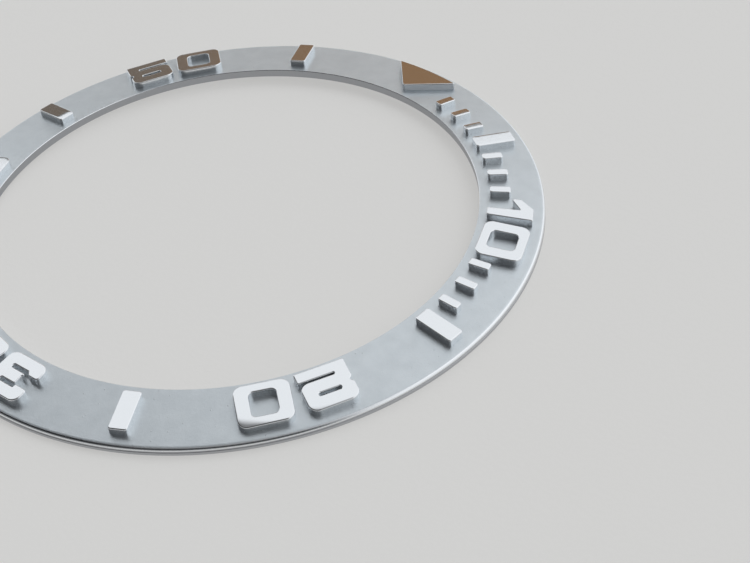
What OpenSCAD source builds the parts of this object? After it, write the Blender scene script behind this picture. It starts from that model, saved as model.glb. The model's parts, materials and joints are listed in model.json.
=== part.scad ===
// Bezel insert for a diver's watch: a dished steel ring that carries raised minute markers.
// Origin: centre of the ring, on the plane that its foot rests on.
// +Z points up through the markers and +Y points to the triangle at the top of the hour.
// Minutes run clockwise as seen from above. Lengths are in millimetres, angles in degrees.

/* [Ring] */
// Diameter of the hole through the ring
bore_d = 30.3; // [28:0.1:36]
// Width of the ring from the hole to the rim
ring_w = 3.85; // [3.5:0.05:4.5]
// Thickness of the ring, measured upright
ring_t = 0.52; // [0.4:0.02:0.8]
// How far the top climbs from the rim to the bore
cone_rise = 0.41; // [0.1:0.01:0.8]
// Width of the polished land round the rim
rim_land_w = 0.18; // [0.1:0.01:0.4]
// How far the polished land falls towards the outside
rim_land_drop = 0.07; // [0.01:0.01:0.1]
// Size of the bevel under the rim
lower_bevel = 0.06; // [0.04:0.01:0.1]
// Width of the flat foot that the ring rests on
foot_w = 0.5; // [0.3:0.05:1]
// Size of the broken edges of the bore
bore_bevel = 0.03; // [0.01:0.01:0.08]
// Depth of the fine line turned into the rim
rim_line_d = 0.04; // [0.02:0.01:0.08]
// Width of that line
rim_line_w = 0.05; // [0.02:0.01:0.08]

/* [Markers] */
// Height of every marker and numeral above the ring
marker_h = 0.46; // [0.2:0.02:0.8]
// Bare width between the bore and the markers
marker_inner_gap = 0.63; // [0.4:0.01:0.9]
// Bare width between the long markers and the rim
marker_outer_gap = 0.71; // [0.5:0.01:1]
// Length of a minute tick
tick_l = 1.25; // [0.8:0.05:1.6]
// Width of a minute tick
tick_w = 0.57; // [0.3:0.01:0.7]
// Width of a five-minute bar
bar_w = 1.07; // [0.7:0.01:1.3]
// Corner radius of ticks and bars, seen from above
marker_corner_r = 0.09; // [0.04:0.01:0.14]
// Width of the triangle across its base
triangle_w = 4.9; // [3:0.1:5.4]
// Width of the triangle's blunted point
triangle_tip_w = 0.16; // [0.05:0.01:0.4]

/* [Numerals] */
// Bare width between the bore and the feet of the numerals
numeral_inner_gap = 0.5; // [0.4:0.01:0.7]
// Bare width between the tops of the numerals and the rim
numeral_outer_gap = 0.65; // [0.5:0.01:0.9]
// Width of the digits 2, 3, 4 and 5
digit_w = 2.8; // [2.5:0.05:2.9]
// Width of the zero
zero_w = 3; // [2.6:0.05:3.2]
// Width of the one, over its flag
one_w = 1.86; // [1.6:0.02:2.2]
// Width of the one's stem at its top
one_stem_w = 0.88; // [0.7:0.02:0.9]
// Width of the one's stem at its foot
one_foot_w = 0.64; // [0.5:0.02:0.7]
// Height of the flag's cut end
one_flag_h = 0.5; // [0.3:0.02:0.6]
// Space between the two digits of a numeral
digit_gap = 0.5; // [0.3:0.05:0.6]
// Width of an upright stroke
stroke_w = 0.78; // [0.6:0.02:0.9]
// Thickness of the zero's top and bottom strokes
zero_stroke_t = 0.55; // [0.4:0.01:0.7]
// Height of the slits in the digits 2, 3 and 5
slit_h = 0.22; // [0.18:0.02:0.34]
// Height of the narrow slit in the digits 2 and 5
narrow_slit_h = 0.14; // [0.1:0.02:0.18]
// How far the slits of the digit 2 sit below those of the 3, and those of the 5 above them
slit_shift = 0.07; // [0:0.01:0.1]
// Depth of the notch between the hook and the shoulder of the digits 2 and 5
hook_notch = 0.2; // [0.1:0.02:0.26]
// Outer corner radius of the round digits
digit_corner_r = 0.54; // [0.4:0.02:0.6]
// Corner radius of the hole in the zero
zero_hole_r = 0.28; // [0.1:0.02:0.34]
// Radius of the small corners of the digits
digit_nick_r = 0.12; // [0.06:0.01:0.16]

/* [Hidden] */

$fn = 96;
RING_FN = 360;
BLASTED = [0.76, 0.78, 0.8];
POLISHED = [0.87, 0.89, 0.91];
DEG_PER_MINUTE = 6;

bore_r = bore_d / 2;
outer_r = bore_r + ring_w;
shoulder_r = outer_r - rim_land_w;
// The line runs round the middle of the upright wall
rim_line_z = (lower_bevel + ring_t - rim_land_drop) / 2;

marker_inner_r = bore_r + marker_inner_gap;
marker_outer_r = outer_r - marker_outer_gap;
numeral_inner_r = bore_r + numeral_inner_gap;
numeral_outer_r = outer_r - numeral_outer_gap;
numeral_mid_r = (numeral_inner_r + numeral_outer_r) / 2;
digit_h = numeral_outer_r - numeral_inner_r;
// Three level strokes share the height that two slits leave
level_stroke_t = (digit_h - 2 * slit_h) / 3;
// Top edge of the upper slit and bottom edge of the lower slit, from the digit's centre
slit_edge_y = digit_h / 2 - level_stroke_t;
// Tall enough for any outline to pass right through the shell that it is cut from
cutter_h = ring_t + cone_rise + marker_h + 1;

// Height of the ring's top face at radius r
function ground(r) = ring_t + cone_rise * (shoulder_r - r) / (shoulder_r - bore_r);

// Angle that an arc length takes up at the middle of the numerals
function arc_angle(l) = l * 180 / (PI * numeral_mid_r);

// Offset of each digit's centre from its minute, so that the pair is centred on it
function first_offset(w) = -arc_angle(zero_w + digit_gap) / 2;
function second_offset(w) = arc_angle(w + digit_gap) / 2;

// Section of the ring, from the foot round by the rim to the bore
function ring_section() = [
    [outer_r - lower_bevel - foot_w, 0],
    [outer_r - lower_bevel, 0],
    [outer_r, lower_bevel],
    [outer_r, rim_line_z - rim_line_w / 2],
    [outer_r - rim_line_d, rim_line_z],
    [outer_r, rim_line_z + rim_line_w / 2],
    [outer_r, ring_t - rim_land_drop],
    [shoulder_r, ring_t],
    [bore_r + bore_bevel, ground(bore_r + bore_bevel)],
    [bore_r, ground(bore_r) - bore_bevel],
    [bore_r, ground(bore_r) - ring_t + bore_bevel],
    [bore_r + bore_bevel, ground(bore_r) - ring_t]
];

module insert_ring() {
    color(BLASTED) rotate_extrude($fn = RING_FN) polygon(ring_section());
}

// The layer that all markers are cut from, lying on the ring's top face
module marker_layer() {
    rotate_extrude($fn = RING_FN) polygon([
        [bore_r, ground(bore_r)],
        [shoulder_r, ground(shoulder_r)],
        [shoulder_r, ground(shoulder_r) + marker_h],
        [bore_r, ground(bore_r) + marker_h]
    ]);
}

// Cuts the outline drawn by the children out of the marker layer, turned to its place on the dial
module raised(angle) {
    color(POLISHED) intersection() {
        rotate([0, 0, -angle]) linear_extrude(cutter_h) children();
        marker_layer();
    }
}

// Rectangle between two corners, with its own radius at each corner: lower left first, then anticlockwise
module round_box(low, high, r) {
    polygon([
        [low.x + r[0], low.y], [high.x - r[1], low.y], [high.x, low.y + r[1]], [high.x, high.y - r[2]],
        [high.x - r[2], high.y], [low.x + r[3], high.y], [low.x, high.y - r[3]], [low.x, low.y + r[0]]
    ]);
    translate([low.x + r[0], low.y + r[0]]) circle(r[0]);
    translate([high.x - r[1], low.y + r[1]]) circle(r[1]);
    translate([high.x - r[2], high.y - r[2]]) circle(r[2]);
    translate([low.x + r[3], high.y - r[3]]) circle(r[3]);
}

// Upright block between two radii, centred on +Y
module radial_block(w, inner_r, outer_r) {
    c = marker_corner_r;
    round_box([-w / 2, inner_r], [w / 2, outer_r], [c, c, c, c]);
}

module tick(minute) {
    raised(minute * DEG_PER_MINUTE) radial_block(tick_w, marker_inner_r, marker_inner_r + tick_l);
}

module bar(minute) {
    raised(minute * DEG_PER_MINUTE) radial_block(bar_w, marker_inner_r, marker_outer_r);
}

// The base follows the rim and the point looks to the centre
module triangle_marker() {
    raised(0) intersection() {
        circle(marker_outer_r, $fn = RING_FN);
        polygon([
            [-triangle_tip_w / 2, marker_inner_r],
            [triangle_tip_w / 2, marker_inner_r],
            [triangle_w / 2, marker_outer_r * cos(asin(triangle_w / 2 / marker_outer_r))],
            [triangle_w / 2, outer_r],
            [-triangle_w / 2, outer_r],
            [-triangle_w / 2, marker_outer_r * cos(asin(triangle_w / 2 / marker_outer_r))]
        ]);
    }
}

// Digits are drawn round their own centre, with their tops towards +Y
module digit_one() {
    x = one_w / 2;
    y = digit_h / 2;
    stem_x = x - one_stem_w;
    flag_low_y = slit_edge_y - one_flag_h;
    tip_w = one_foot_w / 4;
    foot_x = stem_x + one_foot_w;
    polygon([
        [stem_x, -y], [foot_x - tip_w, -y], [foot_x, -y + tip_w], [x, y], [stem_x - tip_w, y],
        [-x, slit_edge_y], [-x, flag_low_y], [-x + tip_w, flag_low_y], [stem_x, slit_edge_y]
    ]);
}

module digit_zero() {
    x = zero_w / 2;
    y = digit_h / 2;
    c = digit_corner_r;
    k = zero_hole_r;
    difference() {
        round_box([-x, -y], [x, y], [c, c, c, c]);
        round_box([-x + stroke_w, -y + zero_stroke_t], [x - stroke_w, y - zero_stroke_t], [k, k, k, k]);
    }
}

// A slit of height h with a square left end and a round right end
module slit(from_x, to_x, low_y, h) {
    translate([from_x, low_y]) square([to_x - h / 2 - from_x, h]);
    translate([to_x - h / 2, low_y + h / 2]) circle(h / 2);
}

module digit_two() {
    x = digit_w / 2;
    y = digit_h / 2;
    c = digit_corner_r;
    k = digit_nick_r;
    slit_low_y = slit_edge_y - slit_h - slit_shift;
    narrow_slit_low_y = -slit_edge_y - slit_shift;
    // The hook runs into the shoulder, and a notch in the left side shows where
    notch_y = slit_low_y - hook_notch;
    difference() {
        union() {
            round_box([-x, narrow_slit_low_y + narrow_slit_h], [x, y], [0.5 * k, c, c, c]);
            round_box([-x, -y], [x, narrow_slit_low_y], [k, k, k, 0.5 * k]);
            translate([-x, -y + k]) square([stroke_w, y]);
        }
        slit(-x + stroke_w, x - stroke_w, slit_low_y, slit_h);
        mirror([1, 0]) slit(-x, x - stroke_w, narrow_slit_low_y, narrow_slit_h);
        polygon([
            [-x + hook_notch, notch_y], [-x - hook_notch, notch_y + 2 * hook_notch],
            [-x - hook_notch, notch_y - 2 * hook_notch]
        ]);
    }
}

module digit_three() {
    x = digit_w / 2;
    y = digit_h / 2;
    c = digit_corner_r;
    open_x = x + 1;
    slit_low_y = slit_edge_y - slit_h;
    // The middle stroke stops short of the two hooks, and its lower corner reaches out to their ends
    middle_x = -x + stroke_w + slit_h;
    hook_x = middle_x - slit_h / 2;
    difference() {
        round_box([-x, -y], [x, y], [c, c, c, c]);
        slit(hook_x, x - stroke_w, slit_low_y, slit_h);
        slit(hook_x, x - stroke_w, -slit_edge_y, slit_h);
        // The opening between the hooks, which cuts the inner corner off the lower one
        polygon([
            [-open_x, slit_low_y], [middle_x, slit_low_y], [middle_x, -slit_low_y + slit_h],
            [hook_x, -slit_low_y], [hook_x, -slit_edge_y], [hook_x - slit_h, -slit_low_y],
            [-open_x, -slit_low_y]
        ]);
    }
}

module digit_four() {
    x = digit_w / 2;
    y = digit_h / 2;
    t = level_stroke_t;
    bar_y = -y + t;
    stem_high_x = x - stroke_w / 2;
    stem_low_x = stem_high_x - stroke_w;
    difference() {
        polygon([
            [stem_low_x, -y], [stem_high_x, -y], [stem_high_x, bar_y], [x, bar_y], [x, bar_y + t],
            [stem_high_x, bar_y + t], [stem_high_x, y], [stem_low_x - stroke_w / 2, y],
            [-x, bar_y + t], [-x, bar_y], [stem_low_x, bar_y]
        ]);
        polygon([
            [stem_low_x, bar_y + t], [stem_low_x, y - t], [-x + stroke_w, bar_y + t]
        ]);
    }
}

module digit_five() {
    mirror([0, 1]) digit_two();
}

// A digit at its place beside the minute that its numeral names
module placed(minute, offset_angle) {
    raised(minute * DEG_PER_MINUTE + offset_angle) translate([0, numeral_mid_r]) children();
}

insert_ring();
triangle_marker();
tick(2);  // tick_02
tick(3);  // tick_03
tick(4);  // tick_04
tick(6);  // tick_06
tick(7);  // tick_07
tick(8);  // tick_08
tick(12);  // tick_12
tick(13);  // tick_13
tick(14);  // tick_14
bar(5);  // bar_05
bar(15);  // bar_15
bar(25);  // bar_25
bar(35);  // bar_35
bar(45);  // bar_45
bar(55);  // bar_55
placed(10, first_offset(one_w)) digit_one();  // numeral_10_one
placed(10, second_offset(one_w)) digit_zero();  // numeral_10_zero
placed(20, first_offset(digit_w)) digit_two();  // numeral_20_two
placed(20, second_offset(digit_w)) digit_zero();  // numeral_20_zero
placed(30, first_offset(digit_w)) digit_three();  // numeral_30_three
placed(30, second_offset(digit_w)) digit_zero();  // numeral_30_zero
placed(40, first_offset(digit_w)) digit_four();  // numeral_40_four
placed(40, second_offset(digit_w)) digit_zero();  // numeral_40_zero
placed(50, first_offset(digit_w)) digit_five();  // numeral_50_five
placed(50, second_offset(digit_w)) digit_zero();  // numeral_50_zero
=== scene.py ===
import json
import math

import bpy
import numpy as np
from mathutils import Matrix, Vector
from mathutils.geometry import delaunay_2d_cdt


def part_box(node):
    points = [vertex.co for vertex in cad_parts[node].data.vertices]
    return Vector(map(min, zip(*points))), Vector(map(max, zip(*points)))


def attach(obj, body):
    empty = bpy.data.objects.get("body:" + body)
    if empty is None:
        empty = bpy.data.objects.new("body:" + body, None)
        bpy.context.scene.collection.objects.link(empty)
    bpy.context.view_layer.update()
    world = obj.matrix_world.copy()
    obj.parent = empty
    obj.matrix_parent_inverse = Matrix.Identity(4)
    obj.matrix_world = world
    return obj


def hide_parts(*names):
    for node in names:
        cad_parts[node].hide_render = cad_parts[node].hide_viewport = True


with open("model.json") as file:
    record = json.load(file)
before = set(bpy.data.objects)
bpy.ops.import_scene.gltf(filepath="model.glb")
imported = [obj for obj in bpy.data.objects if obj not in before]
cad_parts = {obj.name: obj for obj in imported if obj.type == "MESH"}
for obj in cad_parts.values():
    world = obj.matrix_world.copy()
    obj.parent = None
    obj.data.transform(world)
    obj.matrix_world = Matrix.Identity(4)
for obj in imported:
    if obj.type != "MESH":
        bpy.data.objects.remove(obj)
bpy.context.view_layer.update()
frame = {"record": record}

# Lengths in this script are written in millimetres and times MM, which makes them metres
MM = 0.001

# Ring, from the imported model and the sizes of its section
OUTER_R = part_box("insert_ring")[1].x
INNER_BORE = next(mount for mount in frame["record"]["mounts"] if mount["name"] == "inner_bore")
BORE_R = INNER_BORE["dims"]["r_mm"] * MM
RING_T = 0.52 * MM
CONE_RISE = 0.41 * MM
LAND_W = 0.18 * MM
LAND_DROP = 0.07 * MM
LOWER_BEVEL = 0.06 * MM
FOOT_W = 0.5 * MM
BORE_BEVEL = 0.03 * MM
LINE_DEPTH = 0.04 * MM
LINE_W = 0.05 * MM
SHOULDER_R = OUTER_R - LAND_W
CONE_SLOPE = CONE_RISE / (SHOULDER_R - BORE_R)

# Rounds of the ring's section. The polished land is round, gently at the shoulder and tightly at the rim
FINE_R = 0.012 * MM
SHOULDER_ROUND_R = 0.5 * MM
RIM_R = 0.15 * MM
RING_SEGMENTS = 720

# Minutes with a tick and with a bar, and the sizes of ticks, bars and triangle
TICK_MINUTES = (2, 3, 4, 6, 7, 8, 12, 13, 14)
BAR_MINUTES = (5, 15, 25, 35, 45, 55)
MARKER_H = 0.46 * MM
MARKER_INNER_R = BORE_R + 0.63 * MM
MARKER_OUTER_R = OUTER_R - 0.71 * MM
TICK_L = 1.25 * MM
TICK_W = 0.57 * MM
BAR_W = 1.07 * MM
BLOCK_CORNER_R = 0.15 * MM
TRIANGLE_W = 4.9 * MM
TRIANGLE_TIP_W = 0.16 * MM
TRIANGLE_BASE_STEPS = 8

# Numerals
NUMERAL_INNER_R = BORE_R + 0.5 * MM
NUMERAL_OUTER_R = OUTER_R - 0.65 * MM
NUMERAL_MID_R = (NUMERAL_INNER_R + NUMERAL_OUTER_R) / 2
DIGIT_H = NUMERAL_OUTER_R - NUMERAL_INNER_R
DIGIT_W = 2.8 * MM
ZERO_W = 3 * MM
ONE_W = 1.86 * MM
ONE_STEM_W = 0.88 * MM
ONE_FOOT_W = 0.64 * MM
ONE_FLAG_H = 0.5 * MM
DIGIT_GAP = 0.5 * MM
STROKE_W = 0.78 * MM
ZERO_STROKE_T = 0.55 * MM
SLIT_H = 0.22 * MM
NARROW_SLIT_H = 0.14 * MM
SLIT_SHIFT = 0.07 * MM
HOOK_NOTCH = 0.2 * MM
LEVEL_STROKE_T = (DIGIT_H - 2 * SLIT_H) / 3
SLIT_EDGE_Y = DIGIT_H / 2 - LEVEL_STROKE_T

# Corner radii of the numerals. A slit's end is not quite a half circle
DIGIT_CORNER_R = 0.54 * MM
ZERO_HOLE_R = 0.28 * MM
CORNER_R = 0.09 * MM
SMALL_R = 0.08 * MM
TINY_R = SMALL_R / 2
SLIT_END_R = 0.45 * SLIT_H
NARROW_SLIT_END_R = 0.45 * NARROW_SLIT_H

# A marker's top edge is round, and buffing leaves a shallow fall from BUFF_W inside the edge. Its foot sinks
# into the ring by SINK
EDGE_R = 0.06 * MM
EDGE_STEPS = 5
EDGE_ROWS = [EDGE_R * (1 - math.cos(math.pi / 2 * k / EDGE_STEPS)) for k in range(EDGE_STEPS)] + [EDGE_R]
BUFF_W = 0.2 * MM
BUFF_DROP = 0.004 * MM
SINK = 0.01 * MM

# Pieces worn down towards one side: the side's angle from the piece's right in degrees, how far that way from
# the origin of its outline the wear starts, and how many millimetres deep it is a millimetre further on.
# The bar is worn from 0.8 mm outside its inner end towards that end
BAR_WEAR_START = -(MARKER_INNER_R + 0.8 * MM)
WORN = {
    "numeral_20_two": (78, 0.9 * MM, 0.12),
    "numeral_20_zero": (70, 0.85 * MM, 0.11),
    "bar_45": (-90, BAR_WEAR_START, 0.1),
}

# Fineness of the meshes: the turn between points of an arc, the rows of points on a top and their room at the
# edge, and the lengths under which points count as one, in metres and in millimetres
ARC_STEP = math.radians(6)
TOP_STEP = 0.075 * MM
TOP_MARGIN = 0.6 * TOP_STEP
SAME_POINT = 1e-9
SAME_POINT_MM = 1e-6
# Keeps the slope of a round edge finite where it meets the wall, as a share of its radius
UPRIGHT_SHARE = 0.02
# Faces of a marker that look up more than this take the polished finish, and the others that of its sides
TOP_LOOK = 0.3

# Camera, solved from the photograph: what it looks at, from where, and its lens on a 36 mm sensor. All angles
# here and below are in degrees, and azimuths are from +X
LOOK_AT = Vector((11.361 * MM, 0.947 * MM, RING_T))
CAMERA_DISTANCE = 80.593 * MM
CAMERA_AZIMUTH = -42.0552928
CAMERA_ELEVATION = 40.7653742
CAMERA_ROLL = -6.9056884
FOCAL_PIXELS = 1435.517
PHOTO_WIDTH = 750
SENSOR_W = 36
NEAREST_SEEN = 1 * MM
FURTHEST_SEEN = 10000 * MM

# The room's light, by direction. A pair of heights is where one part starts to fade into the next and where
# it has gone, as sines of elevation
LOW_CARD = (0.2, 0.205, 0.21)
DIM_SIDE = (0.02, 0.02, 0.022)
CEILING = (0.24, 0.24, 0.245)
CARD_TOP = (0.42, 0.58)
CEILING_EDGE = (0.87, 0.98)
# The soft window is made of two round ones. Each has an azimuth and how far its edge fades outwards, and
# WINDOW_FADE is how far it fades inwards, as cosines of the angle from its middle
WINDOWS = ((69, 0.3), (116, 0.12))
WINDOW_RADIUS = 73.5
WINDOW_FADE = 0.09
WINDOW_LIGHT = (0.90, 0.92, 0.94)
# A warm round patch low in the window, cut off below at the heights WARM_LOW, with a grey border. It gets
# brighter towards the azimuth WARM_NEAR, between the cosines WARM_CHANGE
WARM_AZIMUTH = 139
WARM_ELEVATION = 12
WARM_RADIUS = 20.6
WARM_BORDER = 1.3
WARM_FADE = 0.003
WARM_LOW = (0.24, 0.28)
WARM_NEAR = 40
WARM_CHANGE = (-0.35, -0.02)
WARM_PATCH = (0.265, 0.16, 0.088)
WARM_FAR_PATCH = (0.165, 0.135, 0.11)
WARM_BORDER_COLOUR = (0.13, 0.145, 0.15)

# Softbox
LAMP_AZIMUTH = 72
LAMP_ELEVATION = 44
LAMP_DISTANCE = 500 * MM
LAMP_SIZE = 400 * MM
LAMP_RADIANCE = 0.14

# Noise mostly lies between these values
NOISE_LOW = 0.3
NOISE_HIGH = 0.7
# Pits: where a dot fades out in its cell, and the chance values between which cells start to have one
PIT_EDGE = (0.05, 0.16)
PIT_CHANCE = (0.86, 0.88)
# How much rougher and smoother lathe marks are than the metal on average
LATHE_SPREAD = 0.08

# Floor, which glows by this share of its colour to the camera and in reflections
FLOOR_HALF = 3000 * MM
PAPER = (0.85, 0.845, 0.83)
PAPER_GLOW = 0.5


def ground(r):
    """Height of the ring's top face at radius r."""
    return RING_T + CONE_SLOPE * (SHOULDER_R - r)


def direction(azimuth, elevation):
    """The unit vector towards an azimuth and elevation."""
    a = math.radians(azimuth)
    e = math.radians(elevation)
    return Vector((math.cos(a) * math.cos(e), math.sin(a) * math.cos(e), math.sin(e)))


# Outlines. An outline is a list of (x, y, radius) corners, anticlockwise round metal. A shape is a list of
# outlines, the outer one and its holes. Ticks, bars and the triangle are drawn at minute 0 with the dial's
# centre as origin, and digits with their own

def rounded(corners):
    """Points of an outline with its corners rounded, the outward normal at each, and its corner's number."""
    points, normals, owners = [], [], []
    for i, (x, y, radius) in enumerate(corners):
        here = np.array([x, y])
        before = here - np.array(corners[i - 1][:2])
        after = np.array(corners[(i + 1) % len(corners)][:2]) - here
        before /= np.linalg.norm(before)
        after /= np.linalg.norm(after)
        turn = math.atan2(before[0] * after[1] - before[1] * after[0], before @ after)
        side = math.copysign(1, turn)
        start = here - before * radius * math.tan(abs(turn) / 2)
        centre = start + side * radius * np.array([-before[1], before[0]])
        first = math.atan2(*(start - centre)[::-1])
        steps = max(2, math.ceil(abs(turn) / ARC_STEP))
        for k in range(steps + 1):
            a = first + turn * k / steps
            spoke = np.array([math.cos(a), math.sin(a)])
            points.append(centre + radius * spoke)
            normals.append(side * spoke)
            owners.append(i)
    return np.array(points), np.array(normals), owners


def box_outline(low_x, low_y, high_x, high_y, radii):
    """A rectangle, with radii for its lower left, lower right, upper right and upper left corners."""
    return [
        (low_x, low_y, radii[0]), (high_x, low_y, radii[1]),
        (high_x, high_y, radii[2]), (low_x, high_y, radii[3]),
    ]


def as_hole(corners):
    """The same outline, run clockwise so that its normals point into the hole."""
    return corners[::-1]


def block(width, outer_r):
    """A tick or bar."""
    return [box_outline(-width / 2, MARKER_INNER_R, width / 2, outer_r, [BLOCK_CORNER_R] * 4)]


def triangle():
    """The triangle at minute 0, with a blunt tip at the bore and a base that follows the dial round."""
    half = TRIANGLE_W / 2
    tip = TRIANGLE_TIP_W / 2
    base_y = math.sqrt(MARKER_OUTER_R ** 2 - half ** 2)
    outline = [(-tip, MARKER_INNER_R, SMALL_R), (tip, MARKER_INNER_R, SMALL_R), (half, base_y, SMALL_R)]
    for k in range(1, TRIANGLE_BASE_STEPS):
        x = half - 2 * half * k / TRIANGLE_BASE_STEPS
        outline.append((x, math.sqrt(MARKER_OUTER_R ** 2 - x ** 2), half))
    outline.append((-half, base_y, SMALL_R))
    return [outline]


def digit_one():
    """A stem that narrows to its foot, with a flag that slants down to the left."""
    x, y = ONE_W / 2, DIGIT_H / 2
    stem_x = x - ONE_STEM_W
    foot_x = stem_x + ONE_FOOT_W
    flag_low_y = SLIT_EDGE_Y - ONE_FLAG_H
    slant_w = ONE_FOOT_W / 4
    return [[
        (stem_x, -y, SMALL_R), (foot_x, -y, slant_w), (x, y, CORNER_R), (stem_x - slant_w, y, SMALL_R),
        (-x, SLIT_EDGE_Y, SMALL_R), (-x, flag_low_y, SMALL_R), (-x + slant_w, flag_low_y, SMALL_R),
        (stem_x, SLIT_EDGE_Y, TINY_R),
    ]]


def digit_zero():
    """A rounded box with a rounded hole."""
    x, y = ZERO_W / 2, DIGIT_H / 2
    hole_x, hole_y = x - STROKE_W, y - ZERO_STROKE_T
    return [
        box_outline(-x, -y, x, y, [DIGIT_CORNER_R] * 4),
        as_hole(box_outline(-hole_x, -hole_y, hole_x, hole_y, [ZERO_HOLE_R] * 4)),
    ]


def digit_two():
    """A box with a slit from the right over its foot, a closed slit near its top and a notch at its left."""
    x, y, c = DIGIT_W / 2, DIGIT_H / 2, DIGIT_CORNER_R
    slit_low_y = SLIT_EDGE_Y - SLIT_H - SLIT_SHIFT
    foot_y = -SLIT_EDGE_Y - SLIT_SHIFT
    notch_y = slit_low_y - HOOK_NOTCH
    inner_x = x - STROKE_W
    outer = [
        (-x, -y, CORNER_R), (x, -y, CORNER_R), (x, foot_y, CORNER_R), (-inner_x, foot_y, NARROW_SLIT_END_R),
        (-inner_x, foot_y + NARROW_SLIT_H, NARROW_SLIT_END_R), (x, foot_y + NARROW_SLIT_H, c), (x, y, c),
        (-x, y, c), (-x, notch_y + HOOK_NOTCH, HOOK_NOTCH), (-x + HOOK_NOTCH, notch_y, SMALL_R),
        (-x, notch_y - HOOK_NOTCH, HOOK_NOTCH),
    ]
    slit_radii = [SMALL_R, SLIT_END_R, SLIT_END_R, SMALL_R]
    slit = box_outline(-inner_x, slit_low_y, inner_x, slit_low_y + SLIT_H, slit_radii)
    return [outer, as_hole(slit)]


def digit_three():
    """A box open to the left, with a hook on each arm and a slit from each hook to the right stroke."""
    x, y, c = DIGIT_W / 2, DIGIT_H / 2, DIGIT_CORNER_R
    slit_low_y = SLIT_EDGE_Y - SLIT_H
    inner_x = x - STROKE_W
    middle_x = SLIT_H - inner_x
    hook_x = middle_x - SLIT_H / 2
    r = SLIT_END_R
    return [[
        (-x, -y, c), (x, -y, c), (x, y, c), (-x, y, c),
        (-x, slit_low_y, HOOK_NOTCH), (hook_x, slit_low_y, SMALL_R), (hook_x, SLIT_EDGE_Y, TINY_R),
        (inner_x, SLIT_EDGE_Y, r), (inner_x, slit_low_y, r), (middle_x, slit_low_y, CORNER_R),
        (middle_x, SLIT_H - slit_low_y, CORNER_R), (hook_x, -slit_low_y, SMALL_R),
        (inner_x, -slit_low_y, r), (inner_x, -SLIT_EDGE_Y, r), (hook_x, -SLIT_EDGE_Y, TINY_R),
        (hook_x - SLIT_H, -slit_low_y, CORNER_R), (-x, -slit_low_y, HOOK_NOTCH),
    ]]


def digit_four():
    """A stem that stands past its bar, with a slanted left side round a three-cornered hole."""
    x, y, t = DIGIT_W / 2, DIGIT_H / 2, LEVEL_STROKE_T
    bar_y = t - y
    stem_high_x = x - STROKE_W / 2
    stem_low_x = stem_high_x - STROKE_W
    outer = [
        (stem_low_x, -y, CORNER_R), (stem_high_x, -y, CORNER_R), (stem_high_x, bar_y, SMALL_R),
        (x, bar_y, CORNER_R), (x, bar_y + t, CORNER_R), (stem_high_x, bar_y + t, SMALL_R),
        (stem_high_x, y, CORNER_R), (stem_low_x - STROKE_W / 2, y, CORNER_R), (-x, bar_y + t, CORNER_R),
        (-x, bar_y, CORNER_R), (stem_low_x, bar_y, SMALL_R),
    ]
    hole = [
        (stem_low_x, bar_y + t, SMALL_R), (stem_low_x, y - t, SMALL_R), (-x + STROKE_W, bar_y + t, SMALL_R),
    ]
    return [outer, as_hole(hole)]


def digit_five():
    """The two, turned over top to bottom."""
    return [[(x, -y, r) for x, y, r in corners[::-1]] for corners in digit_two()]


# Shape of the tops

def edge_fall(inward):
    """How far a marker's top has fallen at a distance inside the outline, and how steeply it falls there."""
    over = np.clip(EDGE_R - inward, 0, EDGE_R)
    rest = np.sqrt(np.maximum(EDGE_R ** 2 - over ** 2, (UPRIGHT_SHARE * EDGE_R) ** 2))
    soft = np.clip(1 - inward / BUFF_W, 0, 1)
    near = inward < EDGE_R
    fall = np.where(near, EDGE_R - rest, 0) + BUFF_DROP * soft ** 2
    slope = np.where(near, over / rest, 0) + 2 * BUFF_DROP / BUFF_W * soft
    return fall, slope


def worn_fall(points, shift_y, worn):
    """How far a worn side takes the top down at each point, and the gradient of that fall."""
    if not worn:
        return 0.0, 0.0
    angle, start, strength = worn
    towards = np.array([math.cos(math.radians(angle)), math.sin(math.radians(angle))])
    beyond = np.maximum((points - [0, shift_y]) @ towards - start, 0)
    return strength / MM * beyond ** 2, 2 * strength / MM * beyond[:, None] * towards


def sides_of(loops):
    """The two ends of each side of closed loops of points."""
    return [ends for loop in loops for ends in zip(loop, np.roll(loop, -1, axis=0))]


def nearest_on(points, loops):
    """Distance from each point to the nearest loop, and the direction away from it."""
    best = np.full(len(points), np.inf)
    away = np.zeros((len(points), 2))
    for a, b in sides_of(loops):
        side = b - a
        share = np.clip(((points - a) @ side) / max(side @ side, SAME_POINT ** 2), 0, 1)
        gap = points - (a + share[:, None] * side)
        distance = np.linalg.norm(gap, axis=1)
        closer = distance < best
        best[closer] = distance[closer]
        away[closer] = gap[closer] / np.maximum(distance[closer], SAME_POINT)[:, None]
    return best, away


def inside(points, loops):
    """Whether each point is in the metal, by counting crossings."""
    crossings = np.zeros(len(points), int)
    for a, b in sides_of(loops):
        if a[1] != b[1]:
            spans = (a[1] > points[:, 1]) != (b[1] > points[:, 1])
            at_x = a[0] + (points[:, 1] - a[1]) * (b[0] - a[0]) / (b[1] - a[1])
            crossings += spans & (points[:, 0] < at_x)
    return crossings % 2 == 1


def grid_inside(loops, margin):
    """Points in even rows inside the loops, no nearer to them than margin."""
    low = np.min([loop.min(0) for loop in loops], axis=0)
    high = np.max([loop.max(0) for loop in loops], axis=0)
    points = []
    for i, y in enumerate(np.arange(low[1], high[1], TOP_STEP * math.sqrt(3) / 2)):
        shift = TOP_STEP / 2 if i % 2 else 0
        points += [(x + shift, y) for x in np.arange(low[0], high[0], TOP_STEP)]
    points = np.array(points)
    distance, _ = nearest_on(points, loops)
    return points[inside(points, loops) & (distance > margin)]


# Meshes

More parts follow.
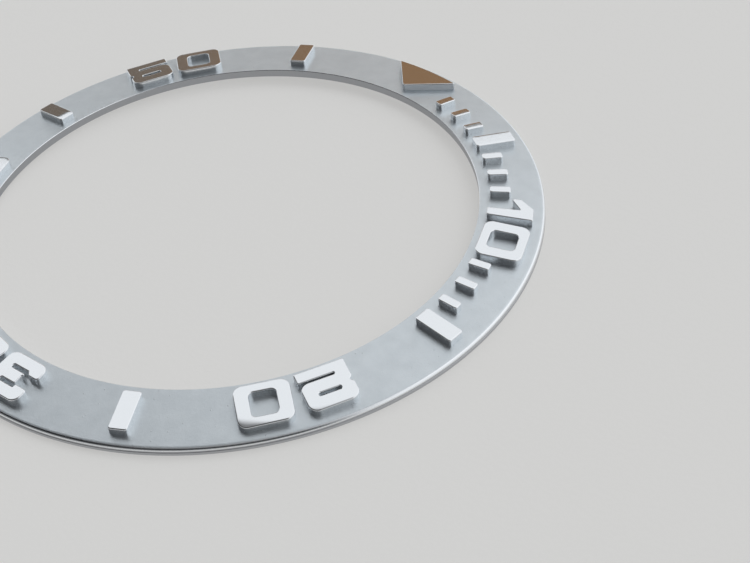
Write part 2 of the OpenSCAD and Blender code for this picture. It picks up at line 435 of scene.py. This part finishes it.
class RaisedSolid:
    """Points and faces of a closed solid over a shape, which stands on the cone.

    Its walls are upright, its edge is round and its top is buffed. The shape's origin lies shift_y from the
    dial's centre, and worn says where the top is worn down."""

    def __init__(self, shape, shift_y, worn):
        self.shift_y = shift_y
        self.worn = worn
        self.points = []
        self.normals = []
        self.faces = []
        self.count = 0
        outlines = [rounded(corners)[:2] for corners in shape]
        outlines = [(points + [0, shift_y], normals) for points, normals in outlines]
        self.feet = [points for points, _ in outlines]
        self.rims = [points - normals * EDGE_R for points, normals in outlines]
        starts = [self.add_side(points, normals) for points, normals in outlines]
        grid = grid_inside(self.feet, EDGE_R + TOP_MARGIN)
        distance, away = nearest_on(grid, self.feet)
        grid_start = self.add(grid, distance, away)
        self.add_cap([rim for _, rim in starts], self.rims, grid, grid_start)
        self.add_cap([foot for foot, _ in starts], self.feet, [], grid_start, turned_over=True)

    def add(self, points, distance, away, sunk=False):
        """Adds points of the top, or the foot under its edge, and gives the number of the first.

        Distance is how far inside the outline each is, and away is the direction from the outline to it."""
        fall, slope = edge_fall(distance)
        wear, wear_slope = worn_fall(points, self.shift_y, self.worn)
        height = np.full(len(points), -SINK) if sunk else MARKER_H - fall - wear
        rise = slope[:, None] * away - wear_slope
        r = np.linalg.norm(points, axis=1)
        normals = np.column_stack([CONE_SLOPE * points / r[:, None] - rise, np.ones(len(points))])
        self.points.append(np.column_stack([points, ground(r) + height]))
        self.normals.append(normals / np.linalg.norm(normals, axis=1)[:, None])
        self.count += len(points)
        return self.count - len(points)

    def add_side(self, points, normals):
        """The wall and round edge over one outline. Gives the first points of its lowest and highest rows."""
        n = len(points)
        rows = [self.add(points, np.zeros(n), -normals, sunk=True)]
        for inward in EDGE_ROWS:
            rows.append(self.add(points - normals * inward, np.full(n, inward), -normals))
        for low, high in zip(rows, rows[1:]):
            self.faces += [(low + i, low + (i + 1) % n, high + (i + 1) % n, high + i) for i in range(n)]
        return rows[0], rows[-1]

    def add_cap(self, starts, loops, extra, extra_start, turned_over=False):
        """Fills the area between loops with triangles, over any extra points."""
        middle = self.feet[0].mean(0)
        flat, numbers, edges = [], [], []
        for start, loop in zip(starts, loops):
            n = len(loop)
            base = len(flat)
            flat += [Vector((point - middle) / MM) for point in loop]
            numbers += range(start, start + n)
            edges += [(base + i, base + (i + 1) % n) for i in range(n)]
        flat += [Vector((point - middle) / MM) for point in extra]
        numbers += range(extra_start, extra_start + len(extra))
        _, _, triangles, origins, _, _ = delaunay_2d_cdt(flat, edges, [], 0, SAME_POINT_MM)
        triangles = [[origins[corner][0] for corner in corners] for corners in triangles]
        centres = np.array([np.mean([flat[corner] for corner in corners], axis=0) for corners in triangles])
        for corners, kept in zip(triangles, inside(centres * MM + middle, loops)):
            if kept:
                face = tuple(numbers[corner] for corner in corners)
                self.faces.append(face[::-1] if turned_over else face)


def new_mesh(name, points, normals, faces):
    """A smooth mesh with the given normals."""
    mesh = bpy.data.meshes.new(name)
    mesh.from_pydata(points.tolist(), [], faces)
    mesh.validate()
    mesh.polygons.foreach_set("use_smooth", [True] * len(mesh.polygons))
    mesh.normals_split_custom_set_from_vertices(normals.tolist())
    return mesh


def ring_section():
    """Corners of the ring's section as (r, z, radius), with the finish of the face that starts at each."""
    line_z = (LOWER_BEVEL + RING_T - LAND_DROP) / 2
    bore_top = ground(BORE_R)
    return [
        (OUTER_R - LOWER_BEVEL - FOOT_W, 0, FINE_R, "turned"),
        (OUTER_R - LOWER_BEVEL, 0, FINE_R, "turned"),
        (OUTER_R, LOWER_BEVEL, FINE_R, "turned"),
        (OUTER_R, line_z - LINE_W / 2, FINE_R / 2, "turned"),
        (OUTER_R - LINE_DEPTH, line_z, FINE_R / 2, "turned"),
        (OUTER_R, line_z + LINE_W / 2, FINE_R / 2, "turned"),
        (OUTER_R, RING_T - LAND_DROP, RIM_R, "land"),
        (SHOULDER_R, RING_T, SHOULDER_ROUND_R, "blasted"),
        (BORE_R + BORE_BEVEL, ground(BORE_R + BORE_BEVEL), FINE_R, "land"),
        (BORE_R, bore_top - BORE_BEVEL, FINE_R, "bore"),
        (BORE_R, bore_top - RING_T + BORE_BEVEL, FINE_R, "turned"),
        (BORE_R + BORE_BEVEL, bore_top - RING_T, FINE_R, "turned"),
    ]


def ring_mesh(finishes):
    """The section revolved round the dial's centre, with finishes by name."""
    section = ring_section()
    outline, outward, owners = rounded([corner[:3] for corner in section])
    n = len(outline)
    points, normals, faces = [], [], []
    up = np.array([0, 0, 1])
    for s in range(RING_SEGMENTS):
        a = 2 * math.pi * s / RING_SEGMENTS
        out = np.array([math.cos(a), math.sin(a), 0])
        points.append(outline[:, :1] * out + outline[:, 1:] * up)
        normals.append(outward[:, :1] * out + outward[:, 1:] * up)
        here = s * n
        there = (s + 1) % RING_SEGMENTS * n
        for i in range(n):
            j = (i + 1) % n
            faces.append((here + i, there + i, there + j, here + j))
    mesh = new_mesh("insert_ring_dressed", np.vstack(points), np.vstack(normals), faces)
    for finish in finishes.values():
        mesh.materials.append(finish)
    names = list(finishes)
    slots = [names.index(section[owner][3]) for owner in owners]
    mesh.polygons.foreach_set("material_index", slots * RING_SEGMENTS)
    return mesh


# Pieces

def new_object(name, data):
    """An object of the scene."""
    thing = bpy.data.objects.new(name, data)
    bpy.context.scene.collection.objects.link(thing)
    return thing


def new_piece(node, mesh):
    """A piece that stands for its node and rides on the insert's one body."""
    piece = new_object(node + "_dressed", mesh)
    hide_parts(node)
    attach(piece, "root")


def raised_piece(node, shape, minute, finishes, offset=0.0, shift_y=0.0):
    """One marker or digit, offset clockwise of its minute, with the finishes of its top and of its sides."""
    solid = RaisedSolid(shape, shift_y, WORN.get(node))
    mesh = new_mesh(node + "_dressed", np.vstack(solid.points), np.vstack(solid.normals), solid.faces)
    mesh.transform(Matrix.Rotation(math.radians(-6 * minute - offset), 4, "Z"))
    for finish in finishes:
        mesh.materials.append(finish)
    slots = [0 if face.normal.z > TOP_LOOK else 1 for face in mesh.polygons]
    mesh.polygons.foreach_set("material_index", slots)
    new_piece(node, mesh)


def arc_angle(length):
    """The angle that a length takes up along the middle of the numerals."""
    return math.degrees(length / NUMERAL_MID_R)


def numeral(minute, word, shape, width, finishes):
    """A first digit and a zero, which have their minute at the middle of the pair."""
    node = f"numeral_{minute}_"
    first_offset = -arc_angle(ZERO_W + DIGIT_GAP) / 2
    zero_offset = arc_angle(width + DIGIT_GAP) / 2
    raised_piece(node + word, shape, minute, finishes, first_offset, NUMERAL_MID_R)
    raised_piece(node + "zero", digit_zero(), minute, finishes, zero_offset, NUMERAL_MID_R)


# Finishes

class Nodes:
    """A node tree, and short ways to add to it.

    A value is the output of a node, or a number, a direction or a colour."""

    def __init__(self, owner):
        owner.use_nodes = True
        self.tree = owner.node_tree

    def feed(self, value, socket):
        """Gives a value to a socket."""
        if isinstance(value, bpy.types.NodeSocket):
            self.tree.links.new(value, socket)
        elif socket.type == "RGBA":
            socket.default_value = (*value, 1)
        else:
            socket.default_value = value

    def add(self, kind, inputs, **settings):
        """Adds a node with its settings, and with values for its inputs by name or number."""
        node = self.tree.nodes.new("ShaderNode" + kind)
        for name, value in settings.items():
            setattr(node, name, value)
        for name, value in inputs.items():
            self.feed(value, node.inputs[name])
        return node.outputs

    def maths(self, operation, a, b):
        """One number from two."""
        return self.add("Math", {0: a, 1: b}, operation=operation)["Value"]

    def spread(self, value, low, high, from_low=NOISE_LOW, from_high=NOISE_HIGH, kind="LINEAR"):
        """Low to high as a value goes between two numbers."""
        ends = {"From Min": from_low, "From Max": from_high, "To Min": low, "To Max": high}
        return self.add("MapRange", {"Value": value, **ends}, interpolation_type=kind)["Result"]

    def step(self, value, low, high):
        """A soft step from 0 to 1 as a value goes from low to high."""
        return self.spread(value, 0, 1, low, high, "SMOOTHSTEP")

    def blend(self, factor, low, high, kind="RGBA"):
        """The value low where factor is 0, and high where it is 1."""
        return self.add("Mix", {"Factor": factor, "A": low, "B": high}, data_type=kind)["Result"]


class Finish(Nodes):
    """A material, with texture that is placed by the piece's own coordinates."""

    def __init__(self, name, colour, roughness, metallic=1):
        self.material = bpy.data.materials.new(name)
        super().__init__(self.material)
        shader = self.tree.nodes["Principled BSDF"]
        self.shader = shader.outputs["BSDF"]
        self.inputs = shader.inputs
        self.feed(colour, self.inputs["Base Color"])
        self.feed(roughness, self.inputs["Roughness"])
        self.feed(metallic, self.inputs["Metallic"])
        self.place = self.add("TexCoord", {})["Object"]

    def noise(self, grain, detail=2, place=None):
        """Noise whose lumps are about grain wide."""
        inputs = {"Vector": place or self.place, "Scale": 1 / grain, "Detail": detail}
        return self.add("TexNoise", inputs)["Fac"]

    def tint(self, noise, low, high):
        """A colour between two by noise."""
        self.feed(self.blend(self.spread(noise, 0, 1), low, high), self.inputs["Base Color"])

    def rough(self, noise, low, high):
        """A roughness between two by noise."""
        self.feed(self.spread(noise, low, high), self.inputs["Roughness"])

    def bump(self, value, height, under=None):
        """A relief, over the one under it if that is given."""
        inputs = {"Height": value, "Distance": height}
        if under:
            inputs["Normal"] = under
        normal = self.add("Bump", inputs)["Normal"]
        self.feed(normal, self.inputs["Normal"])
        return normal

    def pits(self, spacing):
        """Small dots, each in a cell about spacing wide, in about one cell out of eight."""
        cells = self.add("TexVoronoi", {"Vector": self.place, "Scale": 1 / spacing})
        dot = self.spread(cells["Distance"], 1, 0, *PIT_EDGE)
        chance = self.add("SeparateColor", {"Color": cells["Color"]})["Red"]
        return self.maths("MULTIPLY", dot, self.spread(chance, 0, 1, *PIT_CHANCE))


def blasted_finish():
    """Fine matte grain, with faint clouds and a scatter of pits that glint."""
    f = Finish("steel_blasted", (0.72, 0.76, 0.79), 0.43)
    f.tint(f.noise(0.9 * MM, detail=3), (0.655, 0.70, 0.73), (0.705, 0.75, 0.78))
    fine = f.bump(f.noise(0.045 * MM, detail=3), 0.004 * MM)
    coarse = f.bump(f.noise(0.18 * MM), 0.004 * MM, fine)
    glints = f.pits(0.24 * MM)
    f.bump(glints, 0.011 * MM, coarse)
    grain = f.spread(f.noise(0.05 * MM), 0.36, 0.50)
    f.feed(f.blend(glints, grain, 0.2, kind="FLOAT"), f.inputs["Roughness"])
    return f.material


def polished_finish():
    """Buffed tops, with a trace of haze and waviness."""
    f = Finish("steel_polished", (0.85, 0.87, 0.89), 0.09)
    f.rough(f.noise(0.25 * MM, detail=3), 0.07, 0.11)
    f.bump(f.noise(0.5 * MM, detail=1), 0.0006 * MM)
    return f.material


def wall_finish():
    """Machined sides of the markers, streaked downwards."""
    f = Finish("steel_marker_side", (0.88, 0.90, 0.92), 0.23)
    tall = f.add("Mapping", {"Vector": f.place, "Scale": (1, 1, 0.35)})["Vector"]
    streaks = f.noise(0.06 * MM, detail=3, place=tall)
    f.tint(streaks, (0.83, 0.85, 0.87), (0.93, 0.95, 0.97))
    f.rough(f.noise(0.1 * MM), 0.18, 0.28)
    f.bump(streaks, 0.0015 * MM)
    return f.material


def matte_side_painted_light_finish():
    """The frosted sides of the triangle. Their pale bluish colour and part-diffuse share are painted light,
    which makes them look lit.
    """
    f = Finish("steel_matte_side_painted_light", (0.92, 0.95, 0.98), 0.88, metallic=0.6)
    grain = f.noise(0.06 * MM)
    f.rough(grain, 0.82, 0.94)
    f.bump(grain, 0.004 * MM)
    return f.material


def land_finish():
    """The bright bevel round the rim."""
    f = Finish("steel_bevel", (0.86, 0.88, 0.90), 0.18)
    f.rough(f.noise(0.12 * MM), 0.14, 0.24)
    f.bump(f.noise(0.05 * MM), 0.001 * MM)
    return f.material


def turned_finish(name, colour, roughness):
    """Lathe marks: fine lines that follow the ring round, by height and radius."""
    f = Finish(name, colour, roughness)
    level = f.add("VectorMath", {0: f.place, 1: (1, 1, 0)}, operation="MULTIPLY")["Vector"]
    radius = f.add("VectorMath", {0: level}, operation="LENGTH")["Value"]
    height = f.add("SeparateXYZ", {"Vector": f.place})["Z"]
    round_ring = f.add("CombineXYZ", {"X": radius, "Z": height})["Vector"]
    marks = f.noise(0.02 * MM, place=round_ring)
    f.rough(marks, roughness - LATHE_SPREAD, roughness + LATHE_SPREAD)
    f.bump(marks, 0.0015 * MM)
    return f.material


def paper_finish():
    """Pale matte paper, which also glows a little to the camera and in reflections."""
    f = Finish("floor_paper", PAPER, 0.9, metallic=0)
    f.feed(0.2, f.inputs["Specular IOR Level"])
    f.bump(f.noise(0.3 * MM), 0.01 * MM)
    ray = f.add("LightPath", {})
    seen = f.maths("MAXIMUM", ray["Is Camera Ray"], ray["Is Glossy Ray"])
    seen = f.maths("MAXIMUM", seen, ray["Is Transmission Ray"])
    glow = f.add("Emission", {"Color": PAPER})["Emission"]
    share = f.maths("MULTIPLY", seen, PAPER_GLOW)
    both = f.add("MixShader", {0: share, 1: f.shader, 2: glow})["Shader"]
    f.feed(both, f.tree.nodes["Material Output"].inputs["Surface"])
    return f.material


# Studio

def make_floor():
    """A wide sheet of paper that the insert lies on."""
    h = FLOOR_HALF
    mesh = bpy.data.meshes.new("floor")
    mesh.from_pydata([(-h, -h, 0), (h, -h, 0), (h, h, 0), (-h, h, 0)], [], [(0, 1, 2, 3)])
    mesh.materials.append(paper_finish())
    new_object("floor", mesh)


def make_camera():
    """The photograph's view, which is rolled a little to one side."""
    data = bpy.data.cameras.new("camera")
    data.sensor_width = SENSOR_W
    data.sensor_fit = "HORIZONTAL"
    data.lens = FOCAL_PIXELS * SENSOR_W / PHOTO_WIDTH
    data.clip_start = NEAREST_SEEN
    data.clip_end = FURTHEST_SEEN
    back = direction(CAMERA_AZIMUTH, CAMERA_ELEVATION)
    right = direction(CAMERA_AZIMUTH + 90, 0)
    up = back.cross(right)
    c = math.cos(math.radians(CAMERA_ROLL))
    s = math.sin(math.radians(CAMERA_ROLL))
    camera = new_object("camera", data)
    place = Matrix((c * right + s * up, -s * right + c * up, back)).transposed().to_4x4()
    place.translation = LOOK_AT + back * CAMERA_DISTANCE
    camera.matrix_world = place
    bpy.context.scene.camera = camera


def make_world():
    """The room by direction: a low pale card, a dim side over it and a grey ceiling.

    Behind and to the right, over all of these, is a broad soft window with a warm patch low in it."""
    world = bpy.data.worlds.new("studio")
    bpy.context.scene.world = world
    sky = Nodes(world)
    place = sky.add("TexCoord", {})["Generated"]
    height = sky.add("SeparateXYZ", {"Vector": place})["Z"]

    def towards(azimuth, elevation=0):
        """1 straight towards a direction, and 0 square to it."""
        inputs = {0: place, 1: direction(azimuth, elevation)}
        return sky.add("VectorMath", inputs, operation="DOT_PRODUCT")["Value"]

    room = sky.blend(sky.step(height, *CARD_TOP), LOW_CARD, DIM_SIDE)
    room = sky.blend(sky.step(height, *CEILING_EDGE), room, CEILING)
    edge = math.cos(math.radians(WINDOW_RADIUS))
    for azimuth, fade in WINDOWS:
        room = sky.blend(sky.step(towards(azimuth), edge - fade, edge + WINDOW_FADE), room, WINDOW_LIGHT)
    above = sky.step(height, *WARM_LOW)
    warm = sky.blend(sky.step(towards(WARM_NEAR), *WARM_CHANGE), WARM_FAR_PATCH, WARM_PATCH)
    for radius, colour in ((WARM_RADIUS + WARM_BORDER, WARM_BORDER_COLOUR), (WARM_RADIUS, warm)):
        edge = math.cos(math.radians(radius))
        patch = sky.step(towards(WARM_AZIMUTH, WARM_ELEVATION), edge - WARM_FADE, edge + WARM_FADE)
        room = sky.blend(sky.maths("MULTIPLY", patch, above), room, colour)
    background = sky.tree.nodes["Background"].inputs
    sky.feed(room, background["Color"])
    sky.feed(1, background["Strength"])


def make_lamp():
    """A large softbox behind and to the right, which the flat tops don't reflect to the camera."""
    data = bpy.data.lights.new("softbox", "AREA")
    data.shape = "RECTANGLE"
    data.size = LAMP_SIZE
    data.size_y = LAMP_SIZE
    data.energy = LAMP_RADIANCE * math.pi * LAMP_SIZE ** 2
    lamp = new_object("softbox", data)
    back = direction(LAMP_AZIMUTH, LAMP_ELEVATION)
    lamp.matrix_world = back.to_track_quat("Z", "Y").to_matrix().to_4x4()
    lamp.location = back * LAMP_DISTANCE


def make_studio():
    """Camera, light and floor."""
    bpy.context.scene.view_settings.view_transform = "Standard"
    make_camera()
    make_world()
    make_lamp()
    make_floor()


def make_insert():
    """The ring and all that stands on it."""
    ring = ring_mesh({
        "blasted": blasted_finish(),
        "land": land_finish(),
        # The colours of the turned faces and of the bore are darkened below the steel's own: painted shade,
        # darker still in the bore
        "turned": turned_finish("steel_turned_painted_shade", (0.52, 0.53, 0.55), 0.36),
        "bore": turned_finish("steel_bore_painted_shade", (0.42, 0.43, 0.45), 0.36),
    })
    new_piece("insert_ring", ring)
    top = polished_finish()
    finishes = (top, wall_finish())
    # The triangle's sides take a finish with painted light, which makes them paler than the other marker
    # sides
    raised_piece("triangle_marker", triangle(), 0, (top, matte_side_painted_light_finish()))
    for minute in TICK_MINUTES:
        raised_piece(f"tick_{minute:02d}", block(TICK_W, MARKER_INNER_R + TICK_L), minute, finishes)
    for minute in BAR_MINUTES:
        raised_piece(f"bar_{minute:02d}", block(BAR_W, MARKER_OUTER_R), minute, finishes)
    numeral(10, "one", digit_one(), ONE_W, finishes)
    numeral(20, "two", digit_two(), DIGIT_W, finishes)
    numeral(30, "three", digit_three(), DIGIT_W, finishes)
    numeral(40, "four", digit_four(), DIGIT_W, finishes)
    numeral(50, "five", digit_five(), DIGIT_W, finishes)


make_studio()
make_insert()
